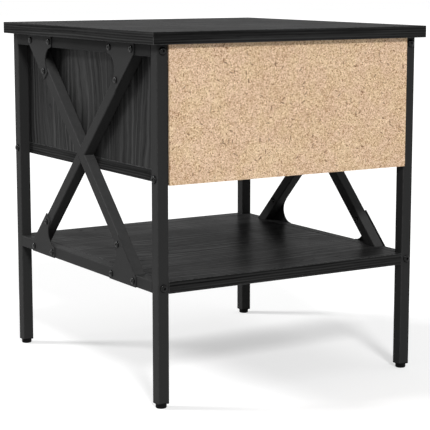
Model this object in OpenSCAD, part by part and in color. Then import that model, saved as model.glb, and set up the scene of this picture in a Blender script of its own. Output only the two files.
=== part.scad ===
// Side table with one drawer. A black steel frame with crossed bars at both sides carries
// a wooden case, a top and an open shelf. The drawer runs on ball-bearing runners.
// All sizes are in millimetres. X is the width, Y the depth with the drawer at -Y, and
// Z is up. The origin is on the floor under the middle of the top.
// Left and right are as seen by someone facing the drawer: right is +X.

/* [Overall size] */
// Width of the top, side to side
table_w = 400; // [334:1:480]
// Depth of the top, front to back
table_d = 420; // [350:1:504]
// Height of the top surface above the floor
table_h = 450; // [375:1:540]
// How far the top stands out past the legs on every side
overhang = 10; // [8:0.5:12]

/* [Boards] */
// Thickness of the top, the shelf, the case boards and the drawer front
board_t = 15; // [12.5:0.5:18]
// Height of the case, from its underside to the underside of the top
case_h = 165; // [138:1:198]
// Thickness of the raw back panel
back_t = 3; // [2.5:0.1:3.6]

/* [Steel frame] */
// Width of the square steel tube
tube = 15; // [12.5:0.5:18]
// Wall thickness of the square steel tube
tube_wall = 1.2; // [1:0.1:1.5]
// Height of the shelf's upper surface above the floor
shelf_z = 155; // [130:1:186]
// Height of the plastic feet under the tubes
foot_h = 7; // [6:0.5:8.5]
// Distance from a leg to where a crossed bar's middle line meets the rail
brace_inset = 52.5; // [44:0.5:63]
// Thickness of the corner plates
gusset_t = 1.5; // [1.2:0.1:1.8]
// Radius of the hollowed edge of a corner plate
gusset_r = 18.5; // [15.5:0.5:22]

/* [Drawer] */
// Gap between the drawer front and the case
front_gap = 2; // [1.5:0.1:3]
// Height of the drawer's sides
drawer_side_h = 105; // [88:1:126]
// Thickness of the drawer's sides and back
drawer_t = 12; // [10:0.5:14.5]
// Width left at each side of the drawer for a runner
runner_space = 12.7; // [12.7:0.1:15.2]
// Height of a runner
runner_h = 27; // [25:0.5:32.5]
// Width of the pull
pull_w = 120; // [100:1:144]
// How far the lip of the pull stands in front of the drawer
pull_reach = 11; // [9:0.5:11.5]
// How far the lip of the pull hangs down
pull_drop = 12; // [10:0.5:14.5]

/* [Hidden] */
$fn = 48;

// Clearances
hole_fit = 0.3;
access_fit = 0.6;
panel_fit = 0.15;
cut = 1;

// Frame planes
fx = table_w / 2 - overhang;
fy = table_d / 2 - overhang;
ix = fx - tube;
iy = fy - tube;
lx = fx - tube / 2;
ly = fy - tube / 2;
top_z = table_h - board_t;
rail_z = top_z - tube;
top_mid_z = top_z - tube / 2;
low_mid_z = shelf_z - tube / 2;
tube_r = 1.5;
tube_in = tube - 2 * tube_wall;

// Case planes
case_z = top_z - case_h;
case_floor_z = case_z + board_t;
case_in = ix - board_t;

// Crossed bars
brace_run = 2 * (iy - brace_inset);
brace_rise = rail_z - shelf_z;
brace_a = atan2(brace_rise, brace_run);
brace_c = cos(brace_a);
brace_s = sin(brace_a);
brace_l = brace_run + brace_rise;
cross_z = (rail_z + shelf_z) / 2;

// Corner plates, measured from where a bar's middle line meets the rail's edge
gusset_proud = 1;
gusset_hold = 6.25;
gusset_out = 14.5;
gusset_edge = 6;
gusset_tip = 1.6;
gusset_screw_in = 8;
gusset_u = -(gusset_hold + gusset_r * (1 + brace_c)) / brace_s;
gusset_end = -gusset_u * brace_c + gusset_r * brace_s + gusset_tip;
gusset_side = tube / 2 + gusset_proud;
bar_screw_l = gusset_end - gusset_screw_in;
bar_screw_y = brace_run / 2 - bar_screw_l * brace_c;
bar_screw_z = brace_rise / 2 - bar_screw_l * brace_s;
rail_screw_y = [brace_run / 2 + gusset_out - gusset_edge, brace_run / 2 + gusset_u + gusset_edge];

// Screws and bolts
bolt_r = 2.5;
bolt_head_r = 4.75;
bolt_head_h = 2.8;
bolt_socket_r = 1.75;
bolt_socket_d = 1.8;
bolt_tip = 0.8;
screw_r = 2;
screw_head_r = 4;
screw_head_h = 2.2;
small_screw_r = 1.75;
small_head_r = 3;
small_head_h = 1.6;
cross_l = 3.6;
cross_w = 0.9;
cross_d = 1.2;
tip_l = 3;
case_screw_in = 11;
shelf_screw_in = 20;
bar_screw_past = 0.5;
bar_inner_r = screw_r + 1.3;
top_screw_in = 11;
small_screw_in = 10;

// Nuts, plugs and dowels
end_nut_l = 14;
end_nut_w = tube_in - 2 * hole_fit;
insert_r = 4;
insert_l = 15;
dowel_r = 4;
dowel_in_board = 10;
dowel_in_side = 20;
dowel_gap = 0.5;
dowel_y = [fy / 5, fy - 35];
dowel_x = ix - board_t / 2;
top_screw_y = fy / 4;

// Feet
foot_r = 0.45 * tube;
foot_round = 1.6;
foot_flange_h = 1.2;
foot_core = 8;
foot_rib_w = tube_in - 2 * hole_fit;
foot_rib_t = 1.4;
foot_rib_pitch = 4.6;
foot_ribs = 3;
foot_plug_l = 16;

// Drawer planes
front_x = case_in - front_gap;
front_z = case_floor_z + front_gap;
pull_t = 1.5;
front_top = top_z - front_gap - pull_t;
front_y = -fy + front_gap;
box_y = front_y + board_t;
box_back = fy - 33;
box_x = case_in - runner_space;
box_in = box_x - drawer_t;
box_z = case_floor_z + 10;
box_top = box_z + drawer_side_h;
groove_d = 5;
groove_z = box_z + 8;
bottom_t = 3;
bottom_z = groove_z + panel_fit;
groove_h = bottom_t + 2 * panel_fit;
bottom_x = box_in + groove_d - hole_fit;
back_low = groove_z + groove_h;
drawer_dowel_r = 3;
drawer_dowel_front = 10;
drawer_dowel_side = 18;
drawer_dowel_z = [box_z + 24, box_top - 20];
back_screw_z = [box_z + 34, box_top - 20];
back_screw_l = 38;
back_screw_head_r = 3.8;
back_screw_head_h = 2.4;

// Pull
pull_flange = 18;
pull_screw_x = pull_w / 3;
pull_screw_z = front_top - 10;
pull_corner = 3;

// Runners, measured inwards from the case's inner face
sheet = 1;
runner_z = box_z + 40;
runner_y = box_y + 2;
runner_l = box_back - box_y - 50;
runner_half = runner_h / 2;
outer_reach = runner_space - 2;
outer_lip = 2.3;
ball_r = 1.6;
ball_gap = 0.25;
inner_half = runner_half - sheet - 2 * (ball_r + ball_gap);
inner_reach = runner_space - 3.7;
inner_lip_t = 0.8;
inner_lip = 0.9;
inner_short = 2;
stop_half = 8;
ball_x = case_in - runner_space + 5.9;
ball_z = runner_half - sheet - ball_gap - ball_r;
cage_t = 0.8;
cage_l = 70;
cage_y = runner_y + 115;
cage_in = case_in - outer_reach + sheet + 0.5;
cage_out = case_in - sheet - 0.8;
ball_n = 6;
ball_pitch = 12;
ball_start = 5;
runner_screw_y = [16, runner_l / 2, runner_l - 24];
runner_screw_in = 12;

// Colours
black_board = [0.09, 0.09, 0.10];
black_steel = [0.06, 0.06, 0.065];
raw_board = [0.80, 0.66, 0.46];
zinc = [0.62, 0.64, 0.66];
dark_zinc = [0.13, 0.13, 0.14];
black_plastic = [0.04, 0.04, 0.04];
beech = [0.78, 0.62, 0.42];
grey_board = [0.30, 0.30, 0.31];

// ---------- placing helpers ----------

module both_sides() {
    children();
    mirror([1, 0, 0]) children();
}

module front_and_back() {
    children();
    mirror([0, 1, 0]) children();
}

module on_side(side) {
    mirror([side < 0 ? 1 : 0, 0, 0]) children();
}

module on_end(end) {
    mirror([0, end < 0 ? 1 : 0, 0]) children();
}

// Draws a flat shape in the Y-Z plane and thickens it towards +X.
module side_plate(t) {
    rotate([90, 0, 90]) linear_extrude(t) children();
}

// A block from one corner to the opposite one.
module block(low, high) {
    translate(low) cube(high - low);
}

// A round hole or rod along X, from x0 to x1.
module rod_x(x0, x1, r) {
    translate([x0, 0, 0]) rotate([0, 90, 0]) cylinder(h = x1 - x0, r = r);
}

// ---------- screws, bolts and dowels ----------

// Each fastener stands on its bearing face at z = 0 with its shank pointing down.

module hexagon(r) {
    polygon([for (k = [0 : 5]) [r * cos(60 * k), r * sin(60 * k)]]);
}

module cap_bolt(l) {
    difference() {
        rotate_extrude() polygon([
            [0, -l],
            [bolt_r - bolt_tip, -l],
            [bolt_r, bolt_tip - l],
            [bolt_r, 0],
            [bolt_head_r, 0],
            [bolt_head_r, 0.4 * bolt_head_h],
            [0.85 * bolt_head_r, 0.78 * bolt_head_h],
            [0.55 * bolt_head_r, bolt_head_h],
            [0, bolt_head_h]
        ]);
        translate([0, 0, bolt_head_h - bolt_socket_d])
            linear_extrude(bolt_socket_d + cut) hexagon(bolt_socket_r);
    }
}

module cross_recess(z) {
    translate([0, 0, z - cross_d]) linear_extrude(cross_d + cut) {
        square([cross_l, cross_w], center = true);
        square([cross_w, cross_l], center = true);
    }
}

module pan_screw(l, r, head_r, head_h) {
    difference() {
        rotate_extrude() polygon([
            [0, -l],
            [0.3 * r, -l],
            [r, tip_l - l],
            [r, 0],
            [head_r, 0],
            [head_r, 0.45 * head_h],
            [0.84 * head_r, 0.82 * head_h],
            [0.6 * head_r, head_h],
            [0, head_h]
        ]);
        cross_recess(head_h);
    }
}

// A flat-headed screw: its head lies below z = 0.
module flat_screw(l, r, head_r, head_h, recess) {
    difference() {
        rotate_extrude() polygon([
            [0, -l],
            [0.3 * r, -l],
            [r, tip_l - l],
            [r, -head_h],
            [head_r, 0],
            [0, 0]
        ]);
        translate([0, 0, -recess]) linear_extrude(recess + cut) {
            square([cross_l, cross_w], center = true);
            square([cross_w, cross_l], center = true);
        }
    }
}

module dowel(r, l) {
    cylinder(h = l, r = r);
}

// ---------- square tube frame ----------

// Rounded square outline, built from bars and corner rounds.
module tube_outline() {
    square([tube, tube - 2 * tube_r], center = true);
    square([tube - 2 * tube_r, tube], center = true);
    for (u = [-1, 1], v = [-1, 1])
        translate([u * (tube / 2 - tube_r), v * (tube / 2 - tube_r)]) circle(r = tube_r);
}

// Hollow square tube standing on z = 0.
module square_tube(l) {
    linear_extrude(l) difference() {
        tube_outline();
        square([tube_in, tube_in], center = true);
    }
}

module leg(side, end) {
    on_side(side) on_end(end) difference() {
        translate([lx, ly, foot_h]) square_tube(top_z - foot_h);
        for (z = [low_mid_z, top_mid_z])
            translate([lx, iy - cut, z]) rotate([-90, 0, 0])
                cylinder(h = tube + 2 * cut, r = bolt_r + hole_fit);
        translate([0, ly, case_z + board_t / 2])
            rod_x(ix - cut, fx + cut, bolt_r + hole_fit);
    }
}

module rail_tube(z) {
    translate([lx, iy, z]) rotate([90, 0, 0]) square_tube(2 * iy);
}

module top_rail(side) {
    on_side(side) difference() {
        rail_tube(top_mid_z);
        for (y = rail_screw_y, e = [-1, 1])
            translate([0, e * y, top_mid_z]) rod_x(ix - cut, fx + cut, screw_r + hole_fit);
        for (e = [-1, 1]) translate([lx, e * top_screw_y, rail_z - cut]) {
            cylinder(h = tube + 2 * cut, r = screw_r + hole_fit);
            cylinder(h = tube / 2 + cut, r = screw_head_r + access_fit);
        }
    }
}

module lower_rail(side) {
    on_side(side) difference() {
        rail_tube(low_mid_z);
        for (y = rail_screw_y, e = [-1, 1])
            translate([0, e * y, low_mid_z]) rod_x(ix - cut, fx + cut, screw_r + hole_fit);
    }
}

// A crossed bar running right through: lean 1 rises to the back, -1 to the front.
module leaning(lean) {
    translate([lx, 0, cross_z]) rotate([lean * brace_a, 0, 0])
        rotate([90, 0, 0]) translate([0, 0, -brace_l / 2]) children();
}

module bar_tube(lean) {
    leaning(lean) square_tube(brace_l);
}

module bar_solid(lean) {
    leaning(lean) translate([0, 0, brace_l / 2]) cube([2 * tube, tube, brace_l], center = true);
}

module bar_slab(z0, z1) {
    block([ix - cut, -fy, z0], [fx + cut, fy, z1]);
}

module bar_screw_hole(y, z) {
    translate([0, y, cross_z + z]) rod_x(ix - cut, fx + cut, screw_r + hole_fit);
}

// Wider hole in the inner wall, round the end of a screw that comes right through.
module bar_inner_hole(y, z) {
    translate([0, y, cross_z + z]) rod_x(ix - cut, lx, bar_inner_r);
}

module brace_long(side) {
    on_side(side) difference() {
        intersection() {
            bar_tube(-1);
            bar_slab(shelf_z, rail_z);
        }
        bar_screw_hole(-bar_screw_y, bar_screw_z);
        bar_screw_hole(bar_screw_y, -bar_screw_z);
        bar_inner_hole(bar_screw_y, -bar_screw_z);
    }
}

module brace_upper(side) {
    on_side(side) difference() {
        intersection() {
            bar_tube(1);
            bar_slab(cross_z, rail_z);
        }
        bar_solid(-1);
        bar_screw_hole(bar_screw_y, bar_screw_z);
    }
}

module brace_lower(side) {
    on_side(side) difference() {
        intersection() {
            bar_tube(1);
            bar_slab(shelf_z, cross_z);
        }
        bar_solid(-1);
        bar_screw_hole(-bar_screw_y, -bar_screw_z);
        bar_inner_hole(-bar_screw_y, -bar_screw_z);
    }
}

// ---------- corner plates ----------

// Outline of the plate at a top back corner, from the middle of the crossed bars.
module gusset_outline() {
    at_rail = [brace_run / 2, brace_rise / 2];
    down = [-brace_c, -brace_s];
    outward = [brace_s, -brace_c];
    shoulder = (gusset_out - gusset_side / brace_s) * tan(brace_a);
    difference() {
        translate(at_rail) polygon([
            [gusset_out, tube],
            [gusset_out, shoulder],
            gusset_end * down + gusset_side * outward,
            gusset_end * down - (gusset_hold + gusset_r / 4) * outward,
            [gusset_u, 0],
            [gusset_u, tube]
        ]);
        translate(at_rail + [gusset_u, -gusset_r]) circle(r = gusset_r);
        for (y = rail_screw_y)
            translate([y, brace_rise / 2 + tube / 2]) circle(r = screw_r + hole_fit);
        translate([bar_screw_y, bar_screw_z]) circle(r = screw_r + hole_fit);
    }
}

module gusset(side, end, level) {
    on_side(side) on_end(end) translate([fx, 0, cross_z])
        side_plate(gusset_t) mirror([0, level < 0 ? 1 : 0, 0]) gusset_outline();
}

// ---------- feet ----------

module foot(side, end) {
    on_side(side) on_end(end) translate([lx, ly, 0]) {
        rotate_extrude() {
            square([foot_r - foot_round, foot_h]);
            translate([0, foot_round]) square([foot_r, foot_h - foot_round]);
            translate([foot_r - foot_round, foot_round]) circle(r = foot_round);
        }
        translate([0, 0, foot_h - foot_flange_h]) linear_extrude(foot_flange_h) tube_outline();
        translate([0, 0, foot_h + foot_plug_l / 2])
            cube([foot_core, foot_core, foot_plug_l], center = true);
        for (k = [1 : foot_ribs])
            translate([0, 0, foot_h + k * foot_rib_pitch])
                cube([foot_rib_w, foot_rib_w, foot_rib_t], center = true);
    }
}

// ---------- boards ----------

// Dowel holes or dowels between a case side and the board above or below it.
module side_dowels(z, l, r) {
    both_sides() front_and_back() for (y = dowel_y)
        translate([dowel_x, y, z]) dowel(r, l);
}

module board_tabletop() {
    difference() {
        block([-table_w / 2, -table_d / 2, top_z], [table_w / 2, table_d / 2, table_h]);
        side_dowels(top_z - cut, dowel_in_board + cut, dowel_r + hole_fit);
        both_sides() front_and_back()
            translate([lx, top_screw_y, top_z - cut])
                cylinder(h = top_screw_in + cut, r = screw_r + hole_fit);
    }
}

module board_shelf() {
    difference() {
        block([-ix, -fy, shelf_z - board_t], [ix, fy, shelf_z]);
        both_sides() front_and_back() for (y = rail_screw_y)
            translate([0, y, low_mid_z])
                rod_x(ix - shelf_screw_in - cut, ix + cut, screw_r + hole_fit);
    }
}

module board_case_floor() {
    difference() {
        block([-ix, -fy, case_z], [ix, fy, case_floor_z]);
        side_dowels(case_floor_z - dowel_in_board, dowel_in_board + cut, dowel_r + hole_fit);
        both_sides() front_and_back()
            translate([0, ly, case_z + board_t / 2])
                rod_x(ix - insert_l - cut, ix + cut, insert_r + hole_fit);
    }
}

module board_case_side(side) {
    on_side(side) difference() {
        block([case_in, -fy, case_floor_z], [ix, fy, top_z]);
        front_and_back() {
            for (y = dowel_y) {
                translate([dowel_x, y, case_floor_z - cut])
                    dowel(dowel_r + hole_fit, dowel_in_side + cut);
                translate([dowel_x, y, top_z - dowel_in_side])
                    dowel(dowel_r + hole_fit, dowel_in_side + cut);
            }
            for (y = rail_screw_y)
                translate([0, y, top_mid_z])
                    rod_x(ix - case_screw_in - cut, ix + cut, screw_r + hole_fit);
            translate([0, bar_screw_y, cross_z + bar_screw_z])
                rod_x(ix - case_screw_in - cut, ix + cut, screw_r + hole_fit);
        }
        for (y = runner_screw_y)
            translate([0, runner_y + y, runner_z])
                rod_x(case_in - cut, case_in + runner_screw_in, small_screw_r + hole_fit);
    }
}

// ---------- drawer ----------

module drawer_front_board() {
    difference() {
        block([-front_x, front_y, front_z], [front_x, box_y, front_top]);
        block([-box_in - groove_d, box_y - groove_d, groove_z],
              [box_in + groove_d, box_y + cut, groove_z + groove_h]);
        both_sides() for (z = drawer_dowel_z)
            translate([box_x - drawer_t / 2, box_y + cut, z]) rotate([90, 0, 0])
                dowel(drawer_dowel_r + hole_fit, drawer_dowel_front + cut);
        both_sides()
            translate([pull_screw_x, box_y + cut, pull_screw_z]) rotate([90, 0, 0])
                cylinder(h = small_screw_in + cut, r = small_screw_r + hole_fit);
    }
}

module drawer_side_board(side) {
    on_side(side) difference() {
        block([box_in, box_y, box_z], [box_x, box_back, box_top]);
        block([box_in - cut, box_y - cut, groove_z],
              [box_in + groove_d, box_back + cut, groove_z + groove_h]);
        for (z = drawer_dowel_z)
            translate([box_x - drawer_t / 2, box_y - cut, z]) rotate([-90, 0, 0])
                dowel(drawer_dowel_r + hole_fit, drawer_dowel_side + cut);
        for (z = back_screw_z)
            translate([0, box_back - drawer_t / 2, z]) {
                rod_x(box_in - cut, box_x + cut, screw_r + hole_fit);
                translate([box_x, 0, 0]) rotate([0, 90, 0])
                    translate([0, 0, -back_screw_head_h])
                        cylinder(h = back_screw_head_h + hole_fit,
                                 r1 = screw_r + hole_fit,
                                 r2 = back_screw_head_r + hole_fit);
            }
        for (y = runner_screw_y)
            translate([0, runner_y + y, runner_z])
                rod_x(box_x - small_screw_in, box_x + cut, small_screw_r + hole_fit);
    }
}

module drawer_back_board() {
    difference() {
        block([-box_in, box_back - drawer_t, back_low], [box_in, box_back, box_top]);
        both_sides() for (z = back_screw_z)
            translate([0, box_back - drawer_t / 2, z])
                rod_x(box_x - back_screw_l - cut, box_in + cut, screw_r + hole_fit);
    }
}

module drawer_bottom_panel() {
    block([-bottom_x, box_y - groove_d + hole_fit, bottom_z],
          [bottom_x, box_back, bottom_z + bottom_t]);
}

// Upright leaf of the pull, hanging from its top face and rounded at both lower corners.
module pull_leaf(y, drop) {
    translate([0, y + pull_t, front_top + pull_t]) rotate([90, 0, 0]) linear_extrude(pull_t) {
        translate([-pull_w / 2, pull_corner - drop - pull_t])
            square([pull_w, drop + pull_t - pull_corner]);
        translate([pull_corner - pull_w / 2, -drop - pull_t])
            square([pull_w - 2 * pull_corner, drop + pull_t]);
        for (e = [-1, 1])
            translate([e * (pull_w / 2 - pull_corner), pull_corner - drop - pull_t])
                circle(r = pull_corner);
    }
}

// Bent strip hooked over the top edge of the drawer front.
module pull_strip() {
    lip_y = front_y - pull_reach;
    pull_leaf(box_y, pull_flange);
    pull_leaf(lip_y, pull_drop);
    block([-pull_w / 2, lip_y, front_top], [pull_w / 2, box_y + pull_t, front_top + pull_t]);
}

module pull_body() {
    difference() {
        pull_strip();
        both_sides()
            translate([pull_screw_x, box_y - cut, pull_screw_z]) rotate([-90, 0, 0])
                cylinder(h = pull_t + 2 * cut, r = small_screw_r + hole_fit);
    }
}

// ---------- ball-bearing runners ----------

// Channel fixed to the case: a web, two flanges with lips that keep the balls in,
// and a tab bent across its back end that the drawer stops against.
module outer_outline() {
    translate([-sheet, -runner_half]) square([sheet, 2 * runner_half]);
    for (m = [0, 1]) mirror([0, m]) {
        translate([-outer_reach, runner_half - sheet]) square([outer_reach, sheet]);
        translate([-outer_reach, runner_half - sheet - outer_lip]) square([sheet, outer_lip + sheet]);
    }
}

module outer_channel(side) {
    on_side(side) difference() {
        union() {
            translate([case_in, runner_y + runner_l, runner_z])
                rotate([90, 0, 0]) linear_extrude(runner_l) outer_outline();
            block([case_in - outer_reach + 2 * sheet, runner_y + runner_l - sheet,
                   runner_z - stop_half],
                  [case_in, runner_y + runner_l, runner_z + stop_half]);
        }
        for (y = runner_screw_y)
            translate([case_in - sheet, runner_y + y, runner_z]) rotate([0, 90, 0])
                cylinder(h = sheet, r1 = small_head_r + hole_fit,
                         r2 = small_screw_r + hole_fit);
    }
}

// Channel fixed to the drawer: its flanges run between the two rows of balls.
module inner_outline() {
    translate([0, -inner_half]) square([sheet, 2 * inner_half]);
    for (m = [0, 1]) mirror([0, m]) {
        translate([0, inner_half - sheet]) square([inner_reach, sheet]);
        translate([inner_reach - inner_lip_t, inner_half - sheet])
            square([inner_lip_t, inner_lip + sheet]);
    }
}

module inner_channel(side) {
    on_side(side) difference() {
        translate([box_x, runner_y + runner_l - inner_short, runner_z])
            rotate([90, 0, 0]) linear_extrude(runner_l - inner_short) inner_outline();
        for (y = runner_screw_y)
            translate([0, runner_y + y, runner_z])
                rod_x(box_x - cut, box_x + sheet + cut, small_screw_r + hole_fit);
    }
}

// Bent strip that keeps the balls evenly spaced and carries both rows along.
module cage(side) {
    on_side(side) difference() {
        union() {
            block([cage_out - cage_t, cage_y, runner_z - ball_z - cage_t / 2],
                  [cage_out, cage_y + cage_l, runner_z + ball_z + cage_t / 2]);
            for (m = [-1, 1])
                translate([0, 0, runner_z + m * ball_z])
                    block([cage_in, cage_y, -cage_t / 2],
                          [cage_out, cage_y + cage_l, cage_t / 2]);
        }
        for (m = [-1, 1], k = [0 : ball_n - 1])
            translate([ball_x, cage_y + ball_start + k * ball_pitch,
                       runner_z + m * ball_z - cage_t])
                cylinder(h = 2 * cage_t, r = ball_r + hole_fit);
    }
}

module balls(side) {
    on_side(side) for (m = [-1, 1], k = [0 : ball_n - 1])
        translate([ball_x, cage_y + ball_start + k * ball_pitch, runner_z + m * ball_z])
            sphere(r = ball_r);
}

// ---------- one module for each separate piece ----------

module tabletop() { color(black_board) board_tabletop(); }
module lower_shelf() { color(black_board) board_shelf(); }
module case_floor() { color(black_board) board_case_floor(); }
module case_side_left() { color(black_board) board_case_side(-1); }
module case_side_right() { color(black_board) board_case_side(1); }

module back_panel() {
    color(raw_board) block([-ix, fy, case_z], [ix, fy + back_t, top_z]);
}

module leg_front_left() { color(black_steel) leg(-1, -1); }
module leg_front_right() { color(black_steel) leg(1, -1); }
module leg_back_left() { color(black_steel) leg(-1, 1); }
module leg_back_right() { color(black_steel) leg(1, 1); }
module top_rail_left() { color(black_steel) top_rail(-1); }
module top_rail_right() { color(black_steel) top_rail(1); }
module lower_rail_left() { color(black_steel) lower_rail(-1); }
module lower_rail_right() { color(black_steel) lower_rail(1); }
module brace_long_left() { color(black_steel) brace_long(-1); }
module brace_long_right() { color(black_steel) brace_long(1); }
module brace_upper_left() { color(black_steel) brace_upper(-1); }
module brace_upper_right() { color(black_steel) brace_upper(1); }
module brace_lower_left() { color(black_steel) brace_lower(-1); }
module brace_lower_right() { color(black_steel) brace_lower(1); }
module gusset_top_front_left() { color(black_steel) gusset(-1, -1, 1); }
module gusset_top_front_right() { color(black_steel) gusset(1, -1, 1); }
module gusset_top_back_left() { color(black_steel) gusset(-1, 1, 1); }
module gusset_top_back_right() { color(black_steel) gusset(1, 1, 1); }
module gusset_low_front_left() { color(black_steel) gusset(-1, -1, -1); }
module gusset_low_front_right() { color(black_steel) gusset(1, -1, -1); }
module gusset_low_back_left() { color(black_steel) gusset(-1, 1, -1); }
module gusset_low_back_right() { color(black_steel) gusset(1, 1, -1); }
module foot_front_left() { color(black_plastic) foot(-1, -1); }
module foot_front_right() { color(black_plastic) foot(1, -1); }
module foot_back_left() { color(black_plastic) foot(-1, 1); }
module foot_back_right() { color(black_plastic) foot(1, 1); }

// Bolts through the legs into the rail ends.
module frame_bolts() {
    color(dark_zinc) both_sides() front_and_back()
        for (z = [low_mid_z, top_mid_z])
            translate([lx, fy, z]) rotate([-90, 0, 0]) cap_bolt(tube + end_nut_l);
}

module rail_end_nuts() {
    color(zinc) both_sides() front_and_back()
        for (z = [low_mid_z, top_mid_z])
            translate([lx, iy - end_nut_l / 2, z]) rotate([90, 0, 0]) difference() {
                cube([end_nut_w, end_nut_w, end_nut_l], center = true);
                cylinder(h = end_nut_l + cut, r = bolt_r + hole_fit, center = true);
            }
}

// Bolts through the legs into the ends of the case floor.
module case_bolts() {
    color(dark_zinc) both_sides() front_and_back()
        translate([fx, ly, case_z + board_t / 2]) rotate([0, 90, 0])
            cap_bolt(tube + insert_l);
}

module case_insert_nuts() {
    color(zinc) both_sides() front_and_back()
        translate([0, ly, case_z + board_t / 2]) difference() {
            rod_x(ix - insert_l, ix, insert_r);
            rod_x(ix - insert_l - cut, ix + cut, bolt_r + hole_fit);
        }
}

// Screws through the upper corner plates and the tubes into the case sides.
module gusset_case_screws() {
    l = gusset_t + tube + case_screw_in;
    color(dark_zinc) both_sides() front_and_back() {
        for (y = rail_screw_y)
            translate([fx + gusset_t, y, top_mid_z]) rotate([0, 90, 0])
                pan_screw(l, screw_r, screw_head_r, screw_head_h);
        translate([fx + gusset_t, bar_screw_y, cross_z + bar_screw_z]) rotate([0, 90, 0])
            pan_screw(l, screw_r, screw_head_r, screw_head_h);
    }
}

// Screws through the lower corner plates and the lower rails into the shelf.
module gusset_shelf_screws() {
    color(dark_zinc) both_sides() front_and_back() for (y = rail_screw_y)
        translate([fx + gusset_t, y, low_mid_z]) rotate([0, 90, 0])
            pan_screw(gusset_t + tube + shelf_screw_in, screw_r, screw_head_r, screw_head_h);
}

// Screws through the lower corner plates and right through the crossed bars.
module brace_screws() {
    color(dark_zinc) both_sides() front_and_back()
        translate([fx + gusset_t, bar_screw_y, cross_z - bar_screw_z]) rotate([0, 90, 0])
            pan_screw(gusset_t + tube + bar_screw_past, screw_r, screw_head_r, screw_head_h);
}

// Screws up into the top. Their heads sit inside the rails, reached through wider holes.
module tabletop_screws() {
    color(dark_zinc) both_sides() front_and_back()
        translate([lx, top_screw_y, top_z - tube_wall]) rotate([180, 0, 0])
            pan_screw(tube_wall + top_screw_in - dowel_gap, screw_r, screw_head_r,
                      screw_head_h);
}

module case_dowels() {
    l = dowel_in_board + dowel_in_side - 2 * dowel_gap;
    color(beech) {
        side_dowels(top_z - dowel_in_side + dowel_gap, l, dowel_r);
        side_dowels(case_floor_z - dowel_in_board + dowel_gap, l, dowel_r);
    }
}

module runner_outer_left() { color(zinc) outer_channel(-1); }
module runner_outer_right() { color(zinc) outer_channel(1); }

module runner_outer_screws() {
    color(zinc) both_sides() for (y = runner_screw_y)
        translate([case_in - sheet, runner_y + y, runner_z]) rotate([0, -90, 0])
            flat_screw(runner_screw_in, small_screw_r, small_head_r, sheet, 0.5 * sheet);
}

module drawer_front() { color(black_board) drawer_front_board(); }
module drawer_side_left() { color(grey_board) drawer_side_board(-1); }
module drawer_side_right() { color(grey_board) drawer_side_board(1); }
module drawer_back() { color(grey_board) drawer_back_board(); }
module drawer_bottom() { color(grey_board) drawer_bottom_panel(); }
module drawer_pull() { color(black_steel) pull_body(); }

module drawer_pull_screws() {
    color(dark_zinc) both_sides()
        translate([pull_screw_x, box_y + pull_t, pull_screw_z]) rotate([-90, 0, 0])
            pan_screw(pull_t + small_screw_in - dowel_gap, small_screw_r, small_head_r,
                      small_head_h);
}

module runner_inner_left() { color(zinc) inner_channel(-1); }
module runner_inner_right() { color(zinc) inner_channel(1); }

module runner_inner_screws() {
    color(zinc) both_sides() for (y = runner_screw_y)
        translate([box_x + sheet, runner_y + y, runner_z]) rotate([0, 90, 0])
            pan_screw(sheet + small_screw_in - dowel_gap, small_screw_r, small_head_r,
                      small_head_h);
}

module drawer_dowels() {
    l = drawer_dowel_front + drawer_dowel_side - 2 * dowel_gap;
    color(beech) both_sides() for (z = drawer_dowel_z)
        translate([box_x - drawer_t / 2, box_y - drawer_dowel_front + dowel_gap, z])
            rotate([-90, 0, 0]) dowel(drawer_dowel_r, l);
}

module drawer_back_screws() {
    color(dark_zinc) both_sides() for (z = back_screw_z)
        translate([box_x, box_back - drawer_t / 2, z]) rotate([0, 90, 0])
            flat_screw(back_screw_l, screw_r, back_screw_head_r, back_screw_head_h, cross_d);
}

module ball_cage_left() { color(zinc) cage(-1); }
module ball_cage_right() { color(zinc) cage(1); }
module runner_balls_left() { color(zinc) balls(-1); }
module runner_balls_right() { color(zinc) balls(1); }

// ---------- what is drawn ----------

tabletop();
lower_shelf();
case_floor();
case_side_left();
case_side_right();
back_panel();
leg_front_left();
leg_front_right();
leg_back_left();
leg_back_right();
top_rail_left();
top_rail_right();
lower_rail_left();
lower_rail_right();
brace_long_left();
brace_long_right();
brace_upper_left();
brace_upper_right();
brace_lower_left();
brace_lower_right();
gusset_top_front_left();
gusset_top_front_right();
gusset_top_back_left();
gusset_top_back_right();
gusset_low_front_left();
gusset_low_front_right();
gusset_low_back_left();
gusset_low_back_right();
foot_front_left();
foot_front_right();
foot_back_left();
foot_back_right();
frame_bolts();
rail_end_nuts();
case_bolts();
case_insert_nuts();
gusset_case_screws();
gusset_shelf_screws();
brace_screws();
tabletop_screws();
case_dowels();
runner_outer_left();
runner_outer_right();
runner_outer_screws();
drawer_front();
drawer_side_left();
drawer_side_right();
drawer_back();
drawer_bottom();
drawer_pull();
drawer_pull_screws();
runner_inner_left();
runner_inner_right();
runner_inner_screws();
drawer_dowels();
drawer_back_screws();
ball_cage_left();
ball_cage_right();
runner_balls_left();
runner_balls_right();
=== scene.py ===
# %% [markdown]
# # A side table with a drawer, in black oak foil and black steel
#
# This lesson dresses a finished CAD model of a small side table. The boards,
# the steel tubes, the crossed bars, the screws and the drawer runners are all
# solid models already, so nothing here is moved or reshaped. What is left is
# what makes a render believable: small rounded edges, materials with the
# detail of the real ones, soft light and a camera.
#
# Everything is in metres. The table stands on z = 0, its drawer opens towards
# -y, and its bare chipboard back faces +y.

# %% Load the model and keep its size
import math

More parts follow.
